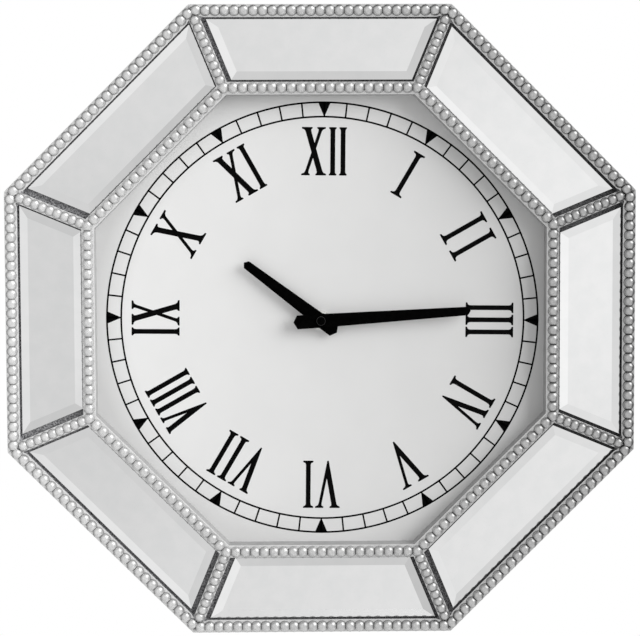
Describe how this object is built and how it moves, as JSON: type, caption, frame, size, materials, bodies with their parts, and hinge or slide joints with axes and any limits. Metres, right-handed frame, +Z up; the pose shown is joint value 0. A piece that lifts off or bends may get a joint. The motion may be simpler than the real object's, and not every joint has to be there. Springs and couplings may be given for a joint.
{
  "type": "wall clock",
  "caption": "Octagonal wall clock with bevelled mirror panels in a beaded silver frame, a recessed white Roman dial, black hands and a battery quartz movement behind.",
  "frame": {"origin": "on the hand axis, in the plane of the wall behind the clock", "axes": "+Z up, -Y out of the dial towards the viewer, +Y into the wall, +X to the viewer's right"},
  "size_m": [0.5, 0.0462, 0.5],
  "materials": {
    "frame_paint": "antique silver paint over a moulded frame",
    "bead_paint": "antique silver paint with dark wash between the beads",
    "mirror_glass": "bevelled silvered glass",
    "foam_tape": "black foam",
    "dial_board": "hardboard",
    "dial_paper": "matte white print paper",
    "steel_screw": "zinc plated",
    "back_board": "raw fibreboard",
    "hanger_steel": "pressed zinc plated steel",
    "hand_black": "matte black lacquer",
    "nut_black": "blackened",
    "brass": "turned",
    "rubber": "matte",
    "movement_plastic": "moulded, fine texture",
    "wheel_plastic": "moulded acetal",
    "magnet": "sintered",
    "stator_steel": "rolled strip",
    "copper": "enamelled wire",
    "circuit_green": "solder mask",
    "contact_metal": "nickel plated",
    "battery_wrap": "plain printed sleeve",
    "knob_plastic": "moulded"
  },
  "bodies": {
    "clock_body": {"front_frame": "frame_paint", "outer_bead_trim": "bead_paint", "inner_bead_trim": "bead_paint", "spoke_bead_trim": "bead_paint", "mirror_panel_1": "mirror_glass", "mirror_panel_2": "mirror_glass", "mirror_panel_3": "mirror_glass", "mirror_panel_4": "mirror_glass", "mirror_panel_5": "mirror_glass", "mirror_panel_6": "mirror_glass", "mirror_panel_7": "mirror_glass", "mirror_panel_8": "mirror_glass", "mirror_tape": "foam_tape", "dial_plate": "dial_board", "dial_paper": "dial_paper", "dial_screws": "steel_screw", "back_board": "back_board", "back_screws": "steel_screw", "hanger_plate": "hanger_steel", "hanger_screws": "steel_screw", "fixing_nut": "brass", "fixing_washer": "brass", "gasket": "rubber", "movement_case": "movement_plastic", "movement_cover": "movement_plastic", "stator": "stator_steel", "coil_core": "stator_steel", "coil_bobbin": "wheel_plastic", "coil_winding": "copper", "circuit_board": "circuit_green", "quartz_crystal": "contact_metal", "contact_plus": "contact_metal", "contact_minus": "contact_metal"},
    "minute_group": {"minute_arbor": "brass", "minute_hand": "hand_black", "hand_nut": "nut_black"},
    "hour_group": {"hour_wheel": "wheel_plastic", "hour_hand": "hand_black"},
    "motion_group": {"motion_wheel": "wheel_plastic"},
    "knob_group": {"setting_knob": "knob_plastic"},
    "centre_group": {"centre_wheel": "wheel_plastic"},
    "third_group": {"third_wheel": "wheel_plastic"},
    "seconds_group": {"seconds_wheel": "wheel_plastic"},
    "intermediate_group": {"intermediate_wheel": "wheel_plastic"},
    "rotor_group": {"rotor_pinion": "wheel_plastic", "rotor_magnet": "magnet"},
    "battery_group": {"battery": "battery_wrap"}
  },
  "joints": [
    {"name": "minute_turn", "type": "hinge", "parent": "clock_body", "child": "minute_group", "pos_m": [0, -0.018, 0], "axis": [0, 1, 0], "continuous": true},
    {"name": "hour_turn", "type": "hinge", "parent": "clock_body", "child": "hour_group", "pos_m": [0, -0.018, 0], "axis": [0, 1, 0], "continuous": true},
    {"name": "motion_turn", "type": "hinge", "parent": "clock_body", "child": "motion_group", "pos_m": [-0.01039, -0.018, 0.006], "axis": [0, 1, 0], "continuous": true},
    {"name": "knob_turn", "type": "hinge", "parent": "clock_body", "child": "knob_group", "pos_m": [-0.01888, -0.018, 0.01449], "axis": [0, 1, 0], "continuous": true},
    {"name": "seconds_turn", "type": "hinge", "parent": "clock_body", "child": "seconds_group", "pos_m": [0, -0.018, 0], "axis": [0, 1, 0], "continuous": true},
    {"name": "third_turn", "type": "hinge", "parent": "clock_body", "child": "third_group", "pos_m": [0.00538, -0.018, 0.00932], "axis": [0, 1, 0], "continuous": true},
    {"name": "centre_turn", "type": "hinge", "parent": "clock_body", "child": "centre_group", "pos_m": [0, -0.018, 0], "axis": [0, 1, 0], "continuous": true},
    {"name": "intermediate_turn", "type": "hinge", "parent": "clock_body", "child": "intermediate_group", "pos_m": [0.0106, -0.018, -0.00187], "axis": [0, 1, 0], "continuous": true},
    {"name": "rotor_turn", "type": "hinge", "parent": "clock_body", "child": "rotor_group", "pos_m": [0.01757, -0.018, 0.00398], "axis": [0, 1, 0], "continuous": true},
    {"name": "battery_out", "type": "slide", "parent": "clock_body", "child": "battery_group", "axis": [0, 1, 0], "range_m": [0, 0.03]}
  ],
  "couplings": [
    {"joint": "hour_turn", "follows": "minute_turn", "ratio": 0.083333},
    {"joint": "motion_turn", "follows": "minute_turn", "ratio": -0.33333},
    {"joint": "knob_turn", "follows": "minute_turn", "ratio": 1},
    {"joint": "third_turn", "follows": "seconds_turn", "ratio": -0.13333},
    {"joint": "centre_turn", "follows": "seconds_turn", "ratio": 0.016667},
    {"joint": "intermediate_turn", "follows": "seconds_turn", "ratio": -5},
    {"joint": "rotor_turn", "follows": "seconds_turn", "ratio": 30}
  ]
}
